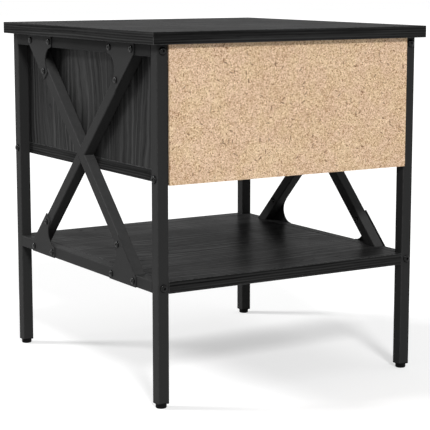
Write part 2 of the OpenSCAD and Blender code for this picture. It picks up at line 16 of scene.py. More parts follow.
import bpy
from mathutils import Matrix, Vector


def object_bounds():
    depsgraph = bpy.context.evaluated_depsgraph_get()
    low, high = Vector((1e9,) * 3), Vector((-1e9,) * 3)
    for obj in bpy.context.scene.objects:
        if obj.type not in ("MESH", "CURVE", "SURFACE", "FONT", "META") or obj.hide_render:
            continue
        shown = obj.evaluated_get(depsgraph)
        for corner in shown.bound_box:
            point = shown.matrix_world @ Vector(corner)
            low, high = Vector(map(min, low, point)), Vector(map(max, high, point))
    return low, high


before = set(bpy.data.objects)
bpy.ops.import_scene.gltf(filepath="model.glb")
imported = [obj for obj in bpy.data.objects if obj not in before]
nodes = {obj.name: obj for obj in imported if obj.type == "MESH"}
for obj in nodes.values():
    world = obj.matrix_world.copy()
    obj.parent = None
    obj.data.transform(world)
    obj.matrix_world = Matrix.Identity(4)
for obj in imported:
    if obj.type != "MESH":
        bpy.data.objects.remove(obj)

cad_low, cad_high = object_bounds()
print("table", [round(side, 3) for side in cad_high - cad_low], "m,",
      len(nodes), "pieces")

# %% [markdown]
# ## The camera
#
# A product picture of furniture is usually taken from a little above the top,
# from a good distance and with a long lens, so that the legs stay almost
# parallel. A wide lens close by would make the near leg look longer than the
# others. The camera here stands behind the table, towards its right-hand
# side. It is turned to its target with two plain angles: a turn about the
# vertical, and a tilt down from level.

# %% Camera
CAMERA_PLACE = (1.0521, 1.7283, 0.5168)
CAMERA_TURN = math.radians(180 - 31.623)
CAMERA_TILT = math.radians(9.088)
LENS_MM, SENSOR_MM = 126.875, 36
NEAREST, FARTHEST = 0.05, 200

lens = bpy.data.cameras.new("camera")
lens.lens, lens.sensor_width = LENS_MM, SENSOR_MM
lens.clip_start, lens.clip_end = NEAREST, FARTHEST
camera = bpy.data.objects.new("camera", lens)
camera.location = CAMERA_PLACE
camera.rotation_euler = (math.radians(90) - CAMERA_TILT, 0, CAMERA_TURN)
bpy.context.scene.collection.objects.link(camera)
bpy.context.scene.camera = camera
print("camera", round((camera.location - (cad_low + cad_high) / 2).length, 2),
      "m from the middle of the table")

# %% [markdown]
# ## Short words for node trees
#
# A material in Blender is a tree of nodes. Written out in full, each node
# takes four or five lines, so a few helpers keep the rest of the lesson
# short. `put` adds a node and fills its sockets, `calc` is a Math node, `vec`
# is a Vector Math node, and `feed` fills one socket. A socket takes either a
# plain value or another socket.

# %% Helpers that add a node
def feed(tree, socket, value):
    if isinstance(value, bpy.types.NodeSocket):
        tree.links.new(value, socket)
    else:
        socket.default_value = value


def put(tree, kind, inputs=None, **settings):
    node = tree.nodes.new("ShaderNode" + kind)
    for name, value in settings.items():
        setattr(node, name, value)
    for name, value in (inputs or {}).items():
        feed(tree, node.inputs[name], value)
    return node


def calc(tree, operation, *values):
    inputs = dict(enumerate(values))
    return put(tree, "Math", inputs, operation=operation).outputs[0]


def vec(tree, operation, *values):
    node = put(tree, "VectorMath", dict(enumerate(values)),
               operation=operation)
    plain = operation in ("DOT_PRODUCT", "LENGTH", "DISTANCE")
    return node.outputs["Value" if plain else "Vector"]


print("helpers: feed, put, calc, vec")

# %% [markdown]
# A noise texture gives the values from which nearly every pattern here is
# made. Most of them lie between 0.3 and 0.7, so `stretch` spreads such a
# middle range over the range that a material needs. `weighted` adds values
# up, each times its share, and `blend` goes from one colour to another.

# %% Helpers that shape values
# A Mix node has its own sockets for each kind of value, found by number:
# the first value, the second value, and the result.
MIX_VECTOR = (4, 5, 1)
MIX_COLOUR = (6, 7, 2)
USUAL_LOW, USUAL_HIGH = 0.3, 0.7


def noise(tree, where, scale, detail=2.0, roughness=0.5):
    node = put(tree, "TexNoise", {"Vector": where, "Scale": scale,
                                  "Detail": detail, "Roughness": roughness})
    return node.outputs["Fac"]


def stretch(tree, value, low, high, to_low=0.0, to_high=1.0):
    node = put(tree, "MapRange", {"Value": value, "From Min": low,
                                  "From Max": high, "To Min": to_low,
                                  "To Max": to_high})
    return node.outputs["Result"]


def weighted(tree, *parts):
    """The sum of (value, share) pairs."""
    total = None
    for value, share in parts:
        part = calc(tree, "MULTIPLY", value, share)
        total = part if total is None else calc(tree, "ADD", total, part)
    return total


def mix(tree, data_type, sockets, amount, first, second):
    node = put(tree, "Mix", data_type=data_type)
    from_socket, to_socket, result = sockets
    feed(tree, node.inputs["Factor"], amount)
    feed(tree, node.inputs[from_socket], first)
    feed(tree, node.inputs[to_socket], second)
    return node.outputs[result]


def blend(tree, amount, first, second):
    return mix(tree, "RGBA", MIX_COLOUR, amount, first, second)


def shade(red, green, blue):
    """A colour given as 0-255 screen values, made linear for the renderer."""
    def linear(value):
        value /= 255
        if value <= 0.04045:
            return value / 12.92
        return ((value + 0.055) / 1.055) ** 2.4
    return (linear(red), linear(green), linear(blue), 1.0)


def grey(value):
    return shade(value, value, value)


print("helpers: noise, stretch, weighted, blend, shade, grey")

# %% [markdown]
# An effect that several materials share is built once as a node group, with
# named inputs and outputs, and then placed in each material with values of
# its own. Every material starts from the same few things: its shader, where a
# point lies on the piece, and which way the surface faces there.

# %% Helpers for groups and materials
def new_group(name, inputs, outputs):
    tree = bpy.data.node_groups.new(name, "ShaderNodeTree")
    for way, sockets in (("INPUT", inputs), ("OUTPUT", outputs)):
        for label, kind in sockets.items():
            tree.interface.new_socket(name=label, in_out=way,
                                      socket_type="NodeSocket" + kind)
    return (tree, tree.nodes.new("NodeGroupInput").outputs,
            tree.nodes.new("NodeGroupOutput").inputs)


def place(tree, group, **inputs):
    node = tree.nodes.new("ShaderNodeGroup")
    node.node_tree = group
    for name, value in inputs.items():
        feed(tree, node.inputs[name], value)
    return node.outputs


def new_finish(name):
    material = bpy.data.materials.new(name)
    material.use_nodes = True
    tree = material.node_tree
    shader = tree.nodes["Principled BSDF"]
    spot = put(tree, "TexCoord").outputs
    return material, tree, shader, spot["Object"], spot["Normal"]


def emboss(tree, shader, height, strength, depth):
    """Relief that the light shows but the outline doesn't."""
    bump = put(tree, "Bump", {"Height": height, "Strength": strength,
                              "Distance": depth})
    feed(tree, shader.inputs["Normal"], bump.outputs[0])


print("helpers: new_group, place, new_finish, emboss")

# %% [markdown]
# ## Effect 1: the grain of printed oak foil
#
# The boards are chipboard wrapped in a printed foil. The foil shows the long
# lines of oak: broad bands, growth rings that wander and close into pointed
# arches, fine fibres, and short dark pores. The same foil, cut in narrow
# strips, is ironed on the edges, and there its lines always run along the
# edge.
#
# One way to make this is an image. A procedural grain is better here, because
# it has no size limit and can tell by itself which way to run. The group gets
# two directions: the board's thickness, and the way that the grain runs on
# its broad faces. On a narrow edge, the direction that is neither the way the
# surface faces nor the thickness is the one along the edge, and a cross
# product finds it.

# %% Group: oak_grain, the way it runs
BROAD_LOOK = 0.7      # a broad face looks this much along the thickness
SHEET_STEP = 31.0     # parallel faces get unlike parts of the pattern

oak_grain, given, out = new_group(
    "oak_grain",
    {"Position": "Vector", "Facing": "Vector", "Thickness": "Vector",
     "Grain": "Vector"},
    {"Tone": "Float", "Pores": "Float", "Height": "Float"})
t = oak_grain
look = calc(t, "ABSOLUTE", vec(
    t, "DOT_PRODUCT", given["Facing"], given["Thickness"]))
broad = calc(t, "GREATER_THAN", look, BROAD_LOOK)
edge_run = vec(t, "CROSS_PRODUCT", given["Facing"], given["Thickness"])
run = vec(t, "NORMALIZE", mix(t, "VECTOR", MIX_VECTOR, broad, edge_run,
                              given["Grain"]))
side = vec(t, "CROSS_PRODUCT", run, given["Facing"])
along = vec(t, "DOT_PRODUCT", given["Position"], run)
across = vec(t, "DOT_PRODUCT", given["Position"], side)
sheet = vec(t, "DOT_PRODUCT", given["Position"], given["Facing"])


def grain_noise(length, width, detail=2.0, roughness=0.5):
    """Noise whose features have that length along the grain and that width."""
    return noise(t, put(t, "CombineXYZ", {
        "X": calc(t, "MULTIPLY", along, 1 / length),
        "Y": calc(t, "MULTIPLY", across, 1 / width),
        "Z": calc(t, "MULTIPLY", sheet, SHEET_STEP)}).outputs[0],
        1.0, detail, roughness)


def on_edges(value):
    """The value on the edge strips, and 1 on the broad faces."""
    return stretch(t, broad, 0.0, 1.0, value, 1.0)


def swing(value, reach):
    """A noise moved to lie on both sides of zero."""
    return calc(t, "MULTIPLY", calc(t, "SUBTRACT", value, 0.5), reach)


print("oak_grain: directions ready,", len(t.nodes), "nodes")

# %% [markdown]
# The growth rings are contour lines. A slow noise, pulled out along the
# grain, is treated as hilly ground, and a sine of its height draws a line at
# every step up, as a map does. Hills pulled out like that give the arches,
# and a quicker noise makes each line tremble. An edge strip is cut from a
# straight part of the sheet, so its rings lie close and hardly wander.

# %% Group: oak_grain, rings and wandering
RING_GAP = 0.0120           # metres between rings on a straight stretch
RING_SHARPNESS = 2.5        # above 1, the pale lines are thin
HILLS = (0.48, 0.100)       # length and width in metres, as for the others
TREMBLE = (0.055, 0.028)
BANDS = (0.40, 0.030)
HILL_REACH, TREMBLE_REACH = 0.12, 0.009
EDGE_CLOSENESS = 3.7        # on an edge strip, rings lie this much closer,
EDGE_BEND = 0.06            # wander this share of the way,
EDGE_RING_STRENGTH = 0.75   # and stand out this share as strongly

hills = swing(grain_noise(*HILLS, roughness=0.45), HILL_REACH)
tremble = swing(grain_noise(*TREMBLE), TREMBLE_REACH)
bend = calc(t, "MULTIPLY", calc(t, "ADD", hills, tremble),
            on_edges(EDGE_BEND))
across = calc(t, "ADD", across, bend)
ring_place = calc(t, "MULTIPLY", across, on_edges(EDGE_CLOSENESS))
rings = calc(t, "SINE", calc(t, "MULTIPLY", ring_place,
                             2 * math.pi / RING_GAP))
rings = calc(t, "POWER", stretch(t, rings, -1.0, 1.0), RING_SHARPNESS)
bands = stretch(t, grain_noise(*BANDS, roughness=0.55), 0.40, 0.60)
rings = calc(t, "MULTIPLY", rings, bands)
rings = calc(t, "MULTIPLY", rings, on_edges(EDGE_RING_STRENGTH))
print("oak_grain: rings every", RING_GAP * 1000, "mm")

# %% [markdown]
# Fibres and pores follow the same bent lines. Both are noise drawn out into
# threads. The tone adds rings, fibres and bands up and takes the pores away,
# and the relief is the same lines without the pores.

# %% Group: oak_grain, fibres and pores
FIBRES = (0.22, 0.0030)
PORES = (0.016, 0.0007)
RING_TONE, FIBRE_TONE, BAND_TONE, PORE_TONE = 0.48, 0.42, 0.06, -0.15
FIBRE_RELIEF = 0.28

fibres = stretch(t, grain_noise(*FIBRES, roughness=0.6), USUAL_LOW,
                 USUAL_HIGH)
pores = stretch(t, grain_noise(*PORES, detail=1.0), 0.60, 0.72)
tone = weighted(t, (rings, RING_TONE), (fibres, FIBRE_TONE),
                (bands, BAND_TONE), (pores, PORE_TONE))
t.links.new(calc(t, "MAXIMUM", tone, 0.0), out["Tone"])
t.links.new(pores, out["Pores"])
t.links.new(weighted(t, (rings, 1.0), (fibres, FIBRE_RELIEF)),
            out["Height"])
print("oak_grain:", len(t.nodes), "nodes")

# %% [markdown]
# ## Effect 2: uneven sheen
#
# No real surface is equally glossy all over. Foil is pressed a little harder
# here than there, and powder paint flows out unevenly as it is baked. Two
# noises, one of hand-sized patches and one of thumb-sized ones, are added up.
# Materials use the value to move their roughness a little to either side.

# %% Group: uneven_sheen
HAND_SIZED, THUMB_SIZED = 14.0, 90.0    # patches in a metre

uneven_sheen, given, out = new_group(
    "uneven_sheen", {"Position": "Vector"}, {"Value": "Float"})
t = uneven_sheen
large = noise(t, given["Position"], HAND_SIZED)
small = noise(t, given["Position"], THUMB_SIZED)
t.links.new(weighted(t, (large, 0.65), (small, 0.35)), out["Value"])


def uneven_roughness(tree, spot, low, high):
    sheen = place(tree, uneven_sheen, Position=spot)["Value"]
    return stretch(tree, sheen, USUAL_LOW, USUAL_HIGH, low, high)


print("uneven_sheen:", len(t.nodes), "nodes")

# %% [markdown]
# ## Effect 3: worn edges, and a painted highlight on them
#
# Edges are where paint runs thin and where a cloth rubs most, so they turn a
# little paler. On the black foil the same mask is mostly a painted highlight:
# a light line along each rounded edge, where it would catch the light. Nearly
# every surface here is a flat face that looks along an axis, so a rounded edge
# gives itself away: it looks along none of them. The bars of the crosses lie at
# 45 degrees, so for them the two slanting directions count as flat too.

# %% Group: edge_wear_and_highlight
SLANT = math.sqrt(0.5)
FLAT_LOOK, ROUND_LOOK = 0.97, 0.80      # how far a face looks along an axis
RUB_PATCHES = 260.0

edge_wear_and_highlight, given, out = new_group(
    "edge_wear_and_highlight", {"Position": "Vector", "Facing": "Vector",
                    "Slanted": "Float"}, {"Mask": "Float"})
t = edge_wear_and_highlight


def looks_along(direction):
    return calc(t, "ABSOLUTE", vec(t, "DOT_PRODUCT", given["Facing"],
                                   direction))


straight = calc(t, "MAXIMUM", calc(t, "MAXIMUM", looks_along((1, 0, 0)),
                                   looks_along((0, 1, 0))),
                looks_along((0, 0, 1)))
slanting = calc(t, "MAXIMUM", looks_along((0, SLANT, SLANT)),
                looks_along((0, SLANT, -SLANT)))
flat = calc(t, "MAXIMUM", straight,
            calc(t, "MULTIPLY", slanting, given["Slanted"]))
patches = stretch(t, noise(t, given["Position"], RUB_PATCHES, 3.0, 0.6),
                  USUAL_LOW, USUAL_HIGH)
# The mask marks rounded edges: worn paint, and on the foil a painted highlight.
t.links.new(calc(t, "MULTIPLY", stretch(t, flat, FLAT_LOOK, ROUND_LOOK),
                 patches), out["Mask"])
print("edge_wear_and_highlight:", len(t.nodes), "nodes")

# %% [markdown]
# ## Effect 4: a fine skin
#
# Powder paint dries with the faint dimples of orange peel, and moulded
# plastic comes out of a spark-eroded mould with a fine matt grain. They are
# the same pattern at two sizes: a noise for the dimples and a much finer one
# on top.

# %% Group: fine_skin
GRIT_FINENESS = 4.3      # grains of grit across one dimple

fine_skin, given, out = new_group(
    "fine_skin", {"Position": "Vector", "Size": "Float"},
    {"Height": "Float", "Speckle": "Float"})
t = fine_skin
dimple_scale = calc(t, "DIVIDE", 1.0, given["Size"])
dimples = noise(t, given["Position"], dimple_scale, 1.0, 0.4)
grit = noise(t, given["Position"],
             calc(t, "MULTIPLY", dimple_scale, GRIT_FINENESS), 1.0)
t.links.new(weighted(t, (dimples, 0.75), (grit, 0.25)), out["Height"])
t.links.new(grit, out["Speckle"])
print("fine_skin:", len(t.nodes), "nodes")

# %% [markdown]
# ## Effect 5: painted light on faces that look up
#
# Faces that look up are painted a little greyer, as light from above makes
# them look: this grey is painted light. The mask asks how far a face looks up:
# the upper slanting sides of the crossed bars count, upright sides don't. A
# cloudy noise keeps it from being even.

# %% Group: painted_top_light
TOP_LIGHT_STARTS, TOP_LIGHT_FULL = 0.35, 0.65     # how far a face looks up
TOP_LIGHT_CLOUDS = 120.0
FAINTEST_TOP_LIGHT = 0.6

painted_top_light, given, out = new_group(
    "painted_top_light", {"Position": "Vector", "Facing": "Vector"},
    {"Mask": "Float"})
t = painted_top_light
looks_up = vec(t, "DOT_PRODUCT", given["Facing"], (0, 0, 1))
cloudy = stretch(t, noise(t, given["Position"], TOP_LIGHT_CLOUDS, 3.0, 0.6),
                 0.2, 0.8, FAINTEST_TOP_LIGHT, 1.0)
t.links.new(calc(t, "MULTIPLY", stretch(t, looks_up, TOP_LIGHT_STARTS, TOP_LIGHT_FULL),
                 cloudy), out["Mask"])
print("painted_top_light:", len(t.nodes), "nodes")

# %% [markdown]
# ## Black oak foil
#
# The foil is nearly black, paler along the rings and fibres, and pressed with
# the same grain as relief. On a black surface the light shows the shape as
# much as the colour, so the grain drives both.
#
# The boards lie in three ways: flat, upright along the sides, and upright
# across the front. So one function makes the foil from the directions of the
# thickness and the grain. The tabletop gets a finish of its own, because tops
# are often covered with a duller foil, which mirrors a window less.

# %% Finish: black oak foil
# The upright boards' pale is a little lower than the flat boards': painted shade that
# darkens their faces.
FOIL_DARK, FOIL_PALE, FOIL_PALE_UPRIGHT_SHADED = grey(8), grey(64), grey(62)
# The pale colour on the foil's rounded edges is a painted highlight.
FOIL_EDGE_HIGHLIGHT, FOIL_HIGHLIGHT_SHARE = grey(130), 0.9
ROUGHNESS_SWING, PORE_ROUGHNESS, GRAIN_PRESS = 0.04, 0.15, 0.9
ALONG_X, ALONG_Y, ALONG_Z = (1, 0, 0), (0, 1, 0), (0, 0, 1)


def black_foil(name, thickness, grain, pale, gloss, roughness, relief):
    material, tree, shader, spot, facing = new_finish(name)
    oak = place(tree, oak_grain, Position=spot, Facing=facing,
                Thickness=thickness, Grain=grain)
    edge_mask = place(tree, edge_wear_and_highlight, Position=spot, Facing=facing,
                   Slanted=0.0)["Mask"]
    colour = blend(tree, oak["Tone"], FOIL_DARK, pale)
    # Painted highlight along the rounded edges.
    colour = blend(tree, calc(tree, "MULTIPLY", edge_mask, FOIL_HIGHLIGHT_SHARE),
                   colour, FOIL_EDGE_HIGHLIGHT)
    feed(tree, shader.inputs["Base Color"], colour)
    rough = uneven_roughness(tree, spot, roughness - ROUGHNESS_SWING,
                             roughness + ROUGHNESS_SWING)
    feed(tree, shader.inputs["Roughness"],
         weighted(tree, (rough, 1.0), (oak["Pores"], PORE_ROUGHNESS)))
    shader.inputs["Specular IOR Level"].default_value = gloss
    emboss(tree, shader, oak["Height"], GRAIN_PRESS, relief)
    return material


foil_top = black_foil("black_foil_top", ALONG_Z, ALONG_X, FOIL_PALE,
                      gloss=0.005, roughness=0.47, relief=0.00018)
foil_flat = black_foil("black_foil_flat", ALONG_Z, ALONG_X, FOIL_PALE,
                       gloss=0.0044, roughness=0.33, relief=0.00020)
# Upright boards use the lower pale, a painted shade.
foil_side = black_foil("black_foil_side", ALONG_X, ALONG_Z,
                       FOIL_PALE_UPRIGHT_SHADED,
                       gloss=0.048, roughness=0.41, relief=0.00042)
foil_front = black_foil("black_foil_front", ALONG_Y, ALONG_X,
                        FOIL_PALE_UPRIGHT_SHADED,
                        gloss=0.048, roughness=0.41, relief=0.00042)
print("four finishes of black foil")

# %% [markdown]
# ## Bare chipboard
#
# The back is a thin sheet of bare chipboard: pressed wood chips a few
# millimetres long, lying every way, with glue between them. Each chip has one
# tone of its own. A Voronoi texture gives just that, a plane of cells with a
# random colour each. The group turns the cells, stretches them to the shape
# of a chip, and makes their edges crooked. Its second random number says how
# high a chip lies.

# %% Group: wood_chips
CHIP_DEPTH = 0.004       # metres through the sheet, from cell to cell
CROOKED_SCALE, CROOKED_REACH = 160.0, 0.0016

wood_chips, given, out = new_group(
    "wood_chips", {"Position": "Vector", "Turn": "Float", "Length": "Float",
                   "Width": "Float"},
    {"Tone": "Float", "Top": "Float", "Distance": "Float"})
t = wood_chips
turned = put(t, "VectorRotate", {"Vector": given["Position"],
                                 "Axis": (0, 1, 0), "Angle": given["Turn"]},
             rotation_type="AXIS_ANGLE").outputs[0]
crooked = put(t, "TexNoise", {"Vector": turned, "Scale": CROOKED_SCALE,
                              "Detail": 2.0}).outputs["Color"]
crooked = vec(t, "SCALE", vec(t, "SUBTRACT", crooked, (0.5, 0.5, 0.5)))
crooked.node.inputs["Scale"].default_value = CROOKED_REACH
size_of_chip = put(t, "CombineXYZ", {"X": given["Length"], "Y": CHIP_DEPTH,
                                     "Z": given["Width"]}).outputs[0]
cells = put(t, "TexVoronoi", {"Vector": vec(t, "DIVIDE", vec(
    t, "ADD", turned, crooked), size_of_chip), "Scale": 1.0})
random = put(t, "SeparateColor", {"Color": cells.outputs["Color"]}).outputs
t.links.new(random["Red"], out["Tone"])
t.links.new(random["Green"], out["Top"])
t.links.new(cells.outputs["Distance"], out["Distance"])
print("wood_chips:", len(t.nodes), "nodes")

# %% [markdown]
# The sheet's own colour comes from four layers of chips, each turned another
# way. Wherever a layer's chip lies high enough, its tone covers the layers
# before it. Crumbs and soft clouds break the tones up, and the pale end of
# the colour drifts between a pinkish and a yellowish wood.

# %% Finish: bare chipboard, the chips
CHIP_DARK = shade(171, 131, 94)
PINKISH, YELLOWISH = shade(255, 227, 198), shade(255, 230, 194)
# Each layer's turn in radians, and the length and width of its chips.
CHIP_LAYERS = ((0.3, 0.0024, 0.0011), (1.9, 0.0020, 0.0010),
               (1.1, 0.0017, 0.0010), (2.7, 0.0015, 0.0010))
COVERS_ABOVE = 0.52
CHIP_SHARE, CRUMB_LOW, CRUMB_HIGH, CLOUD_SWING = 0.62, -0.14, 0.52, 0.05
CRUMB_SCALE, CLOUD_SCALE, TINT_SCALE = 760.0, 22.0, 48.0
CHIP_ROUGH, CHIP_GLOSS = (0.72, 0.92), 0.06
CHIP_STRENGTH, CHIP_RELIEF = 0.35, 0.0001

bare_board, tree, shader, spot, facing = new_finish("bare_chipboard")
tone, lift = None, None
for turn, length, width in CHIP_LAYERS:
    chip = place(tree, wood_chips, Position=spot, Turn=turn, Length=length,
                 Width=width)
    if tone is None:
        tone, lift = chip["Tone"], chip["Top"]
        continue
    above = calc(tree, "GREATER_THAN", chip["Top"], COVERS_ABOVE)
    step = calc(tree, "SUBTRACT", chip["Tone"], tone)
    tone = calc(tree, "ADD", tone, calc(tree, "MULTIPLY", step, above))
    lift = calc(tree, "MAXIMUM", lift, chip["Top"])
crumbs = stretch(tree, noise(tree, spot, CRUMB_SCALE, 2.0, 0.6), USUAL_LOW,
                 USUAL_HIGH)
clouds = stretch(tree, noise(tree, spot, CLOUD_SCALE, 3.0), USUAL_LOW,
                 USUAL_HIGH, -CLOUD_SWING, CLOUD_SWING)
tone = calc(tree, "ADD", calc(tree, "MULTIPLY", tone, CHIP_SHARE),
            stretch(tree, crumbs, 0.0, 1.0, CRUMB_LOW, CRUMB_HIGH))
tone = calc(tree, "ADD", tone, clouds)
tint = stretch(tree, noise(tree, spot, TINT_SCALE), 0.40, 0.60)
colour = blend(tree, tone, CHIP_DARK,
               blend(tree, tint, PINKISH, YELLOWISH))
feed(tree, shader.inputs["Roughness"],
     stretch(tree, crumbs, 0.2, 0.8, *CHIP_ROUGH))
shader.inputs["Specular IOR Level"].default_value = CHIP_GLOSS
emboss(tree, shader, lift, CHIP_STRENGTH, CHIP_RELIEF)
print("bare_chipboard:", len(CHIP_LAYERS), "layers of chips")

# %% [markdown]
# What makes raw chipboard easy to recognise is its dirt: small flecks of bark
# and long thin splinters of darker wood. They are the same cells, only
# larger. Many of the cells are left out, and of the others only the middle is
# drawn, so that they lie apart.

# %% Finish: bare chipboard, bark and splinters
BARK, DARK_BARK = shade(124, 78, 44), shade(98, 60, 34)
BARK_SHARE, SPLINTER_SHARE = 0.95, 0.72
# Turn, length and width, and the height above which a cell is drawn.
FLECK = (0.9, 0.0044, 0.0026, 0.60)
SPLINTERS = ((1.45, 0.018, 0.0050, 0.89), (0.35, 0.017, 0.0048, 0.90),
             (2.45, 0.018, 0.0048, 0.90), (1.75, 0.038, 0.0080, 0.93))
# Distances from a cell's middle where it starts to show and shows in full.
FLECK_RIM, SPLINTER_RIM = (0.24, 0.14), (0.26, 0.18)


def lone_cells(turn, length, width, drawn_above, rim):
    cell = place(tree, wood_chips, Position=spot, Turn=turn, Length=length,
                 Width=width)
    return calc(tree, "MULTIPLY", stretch(tree, cell["Distance"], *rim),
                calc(tree, "GREATER_THAN", cell["Top"], drawn_above))


flecks = lone_cells(*FLECK, FLECK_RIM)
colour = blend(tree, calc(tree, "MULTIPLY", flecks, BARK_SHARE), colour,
               BARK)
for kind in SPLINTERS:
    splinters = lone_cells(*kind, SPLINTER_RIM)
    colour = blend(tree, calc(tree, "MULTIPLY", splinters, SPLINTER_SHARE),
                   colour, DARK_BARK)
feed(tree, shader.inputs["Base Color"], colour)
print("bare_chipboard:", len(tree.nodes), "nodes")

# %% [markdown]
# ## Black powder paint
#
# The tubes, bars, corner plates and the pull are steel with baked powder
# paint: black, half matt, with the fine dimples of orange peel. The paint is
# an insulator, so the shader's Metallic stays 0 even though the part is
# steel.
#
# One function makes four finishes. The slanting bars have their own idea of a
# flat face, and painted light, a paler grey, on their upper sides. The rails
# come a shade deeper than the legs and plates, the rails under the top most of
# all: on those the deeper colour is painted shade, the shadow of the top.

# %% Finish: black powder paint
PEEL_SIZE, PEEL_STRENGTH, PEEL_DEPTH = 0.0011, 0.35, 0.00012
PAINT_ROUGH, PAINT_GLOSS = (0.46, 0.56), 0.024
PAINT_RUBBED, PAINT_RUB_SHARE, RUBBED_SMOOTHER = grey(84), 0.35, 0.08
# Painted light: the grey for faces that look up.
TOP_LIGHT_GREY = grey(64)


def powder_paint(name, dark, pale, slanted=0.0):
    material, tree, shader, spot, facing = new_finish(name)
    skin = place(tree, fine_skin, Position=spot, Size=PEEL_SIZE)
    edge_mask = place(tree, edge_wear_and_highlight, Position=spot, Facing=facing,
                   Slanted=slanted)["Mask"]
    colour = blend(tree, skin["Speckle"], dark, pale)
    colour = blend(tree, calc(tree, "MULTIPLY", edge_mask, PAINT_RUB_SHARE),
                   colour, PAINT_RUBBED)
    # Faces that look up get painted light, a paler grey.
    if slanted:
        top_light = place(tree, painted_top_light, Position=spot, Facing=facing)["Mask"]
        colour = blend(tree, top_light, colour, TOP_LIGHT_GREY)
    feed(tree, shader.inputs["Base Color"], colour)
    rough = uneven_roughness(tree, spot, *PAINT_ROUGH)
    feed(tree, shader.inputs["Roughness"],
         weighted(tree, (rough, 1.0), (edge_mask, -RUBBED_SMOOTHER)))
    shader.inputs["Specular IOR Level"].default_value = PAINT_GLOSS
    emboss(tree, shader, skin["Height"], PEEL_STRENGTH, PEEL_DEPTH)
    return material


paint = powder_paint("black_powder_paint", grey(36), grey(53))
# The crossed bars, with painted light on their upper sides.
paint_slanted_top_lit = powder_paint("black_powder_paint_slanted", grey(36),
                             grey(53), slanted=1.0)
paint_low_rails = powder_paint("black_powder_paint_low_rails", grey(34),
                               grey(50))
# Painted shade: the top rails, in the shadow of the overhanging top, get a darker grey.
paint_top_rails_shaded = powder_paint("black_powder_paint_top_rails", grey(25),
                               grey(37))
print("powder paint on legs and plates, crossed bars, low and top rails")

# %% [markdown]
# ## Black plastic feet
#
# The feet are moulded nylon plugs. Fresh black plastic is darker than the
# paint, with a finer grain. The lowest few millimetres turn a little paler,
# where the foot was pushed about on the floor.

# %% Finish: black plastic
PLASTIC_DARK, PLASTIC_PALE, SCUFFED = grey(10), grey(22), shade(70, 68, 66)
PLASTIC_GRAIN, GRAIN_STRENGTH, GRAIN_DEPTH = 0.0005, 0.3, 0.00006
PLASTIC_ROUGH, PLASTIC_GLOSS = (0.42, 0.56), 0.04
SCUFF_HEIGHT, SCUFF_SCALE, SCUFF_SHARE = 0.0025, 700.0, 0.12

plastic, tree, shader, spot, facing = new_finish("black_plastic")
skin = place(tree, fine_skin, Position=spot, Size=PLASTIC_GRAIN)
height = put(tree, "SeparateXYZ", {"Vector": spot}).outputs["Z"]
scuffs = calc(tree, "MULTIPLY", stretch(tree, height, SCUFF_HEIGHT, 0.0),
              stretch(tree, noise(tree, spot, SCUFF_SCALE, 3.0), 0.45, 0.65))
colour = blend(tree, skin["Speckle"], PLASTIC_DARK, PLASTIC_PALE)
colour = blend(tree, calc(tree, "MULTIPLY", scuffs, SCUFF_SHARE), colour,
               SCUFFED)
feed(tree, shader.inputs["Base Color"], colour)
feed(tree, shader.inputs["Roughness"],
     uneven_roughness(tree, spot, *PLASTIC_ROUGH))
shader.inputs["Specular IOR Level"].default_value = PLASTIC_GLOSS
emboss(tree, shader, skin["Height"], GRAIN_STRENGTH, GRAIN_DEPTH)
print("black_plastic:", len(tree.nodes), "nodes")

# %% [markdown]
# ## Metals
#
# The runners, cages, nuts and their screws are zinc-plated, with the faint
# lines of rolling and a cloudy pattern of zinc. The balls are polished. Both
# are bare metal, whose colour is its reflection, so they differ in colour, in
# roughness and in how strong the lines are.
#
# The screws and bolts that show are blackened. Their coat hides the steel, so
# the same function makes them with Metallic 0: a dark colour, smooth enough
# for each dome to catch a lamp in one small bright spot.

# %% Finish: metals
LINE_SCALE, LINE_PULL, LINE_DEPTH = 2600.0, 0.03, 0.00004
ZINC_CLOUD_SCALE = 420.0
PLAIN_GLOSS = 0.5


def metal(name, dark, pale, rough, lines, metallic=1.0, gloss=PLAIN_GLOSS):
    material, tree, shader, spot, facing = new_finish(name)
    rolled = put(tree, "Mapping", {"Vector": spot,
                                   "Scale": (1.0, LINE_PULL, 1.0)})
    streaks = noise(tree, rolled.outputs[0], LINE_SCALE, 2.0, 0.6)
    sheen = place(tree, uneven_sheen, Position=spot)["Value"]
    clouds = noise(tree, spot, ZINC_CLOUD_SCALE, 3.0, 0.6)
    mottle = weighted(tree, (clouds, 0.6), (sheen, 0.4))
    feed(tree, shader.inputs["Base Color"],
         blend(tree, stretch(tree, mottle, USUAL_LOW, USUAL_HIGH), dark,
               pale))
    worn = weighted(tree, (clouds, 0.5), (streaks, 0.5))
    feed(tree, shader.inputs["Roughness"],
         stretch(tree, worn, 0.35, 0.65, *rough))
    shader.inputs["Metallic"].default_value = metallic
    shader.inputs["Specular IOR Level"].default_value = gloss
    emboss(tree, shader, streaks, lines, LINE_DEPTH)
    return material


blackened = metal("blackened_screw", grey(4), grey(13), rough=(0.14, 0.20),
                  lines=0.04, metallic=0.0, gloss=0.20)
zinc = metal("zinc_plate", shade(148, 150, 154), shade(186, 188, 191),
             rough=(0.26, 0.42), lines=0.30)
ball = metal("polished_ball", shade(196, 198, 201), shade(212, 213, 215),
             rough=(0.06, 0.12), lines=0.0)
print("blackened screws, zinc plate, polished balls")

# %% [markdown]
# ## The drawer box
#
# The sides, back and bottom of the drawer are thin boards in a plain
# charcoal foil with a fine linen emboss, the usual lining of a flat-packed
# drawer. Crossed waves would give a perfect grid. A real emboss wanders a
# little, so the threads are noises pulled out along x, y and z. Two of the
# three lie in any one face and show there as threads.

# %% Finish: charcoal drawer board
LINING_DARK, LINING_PALE = shade(44, 44, 46), shade(70, 70, 72)
LINING_RUBBED, LINING_RUB_SHARE = shade(96, 96, 97), 0.4
LINING_ROUGH, LINING_GLOSS = (0.46, 0.60), 0.35
THREAD_SCALE, THREAD_PULL = 1100.0, 0.08
THREAD_STRENGTH, THREAD_DEPTH = 0.4, 0.00012

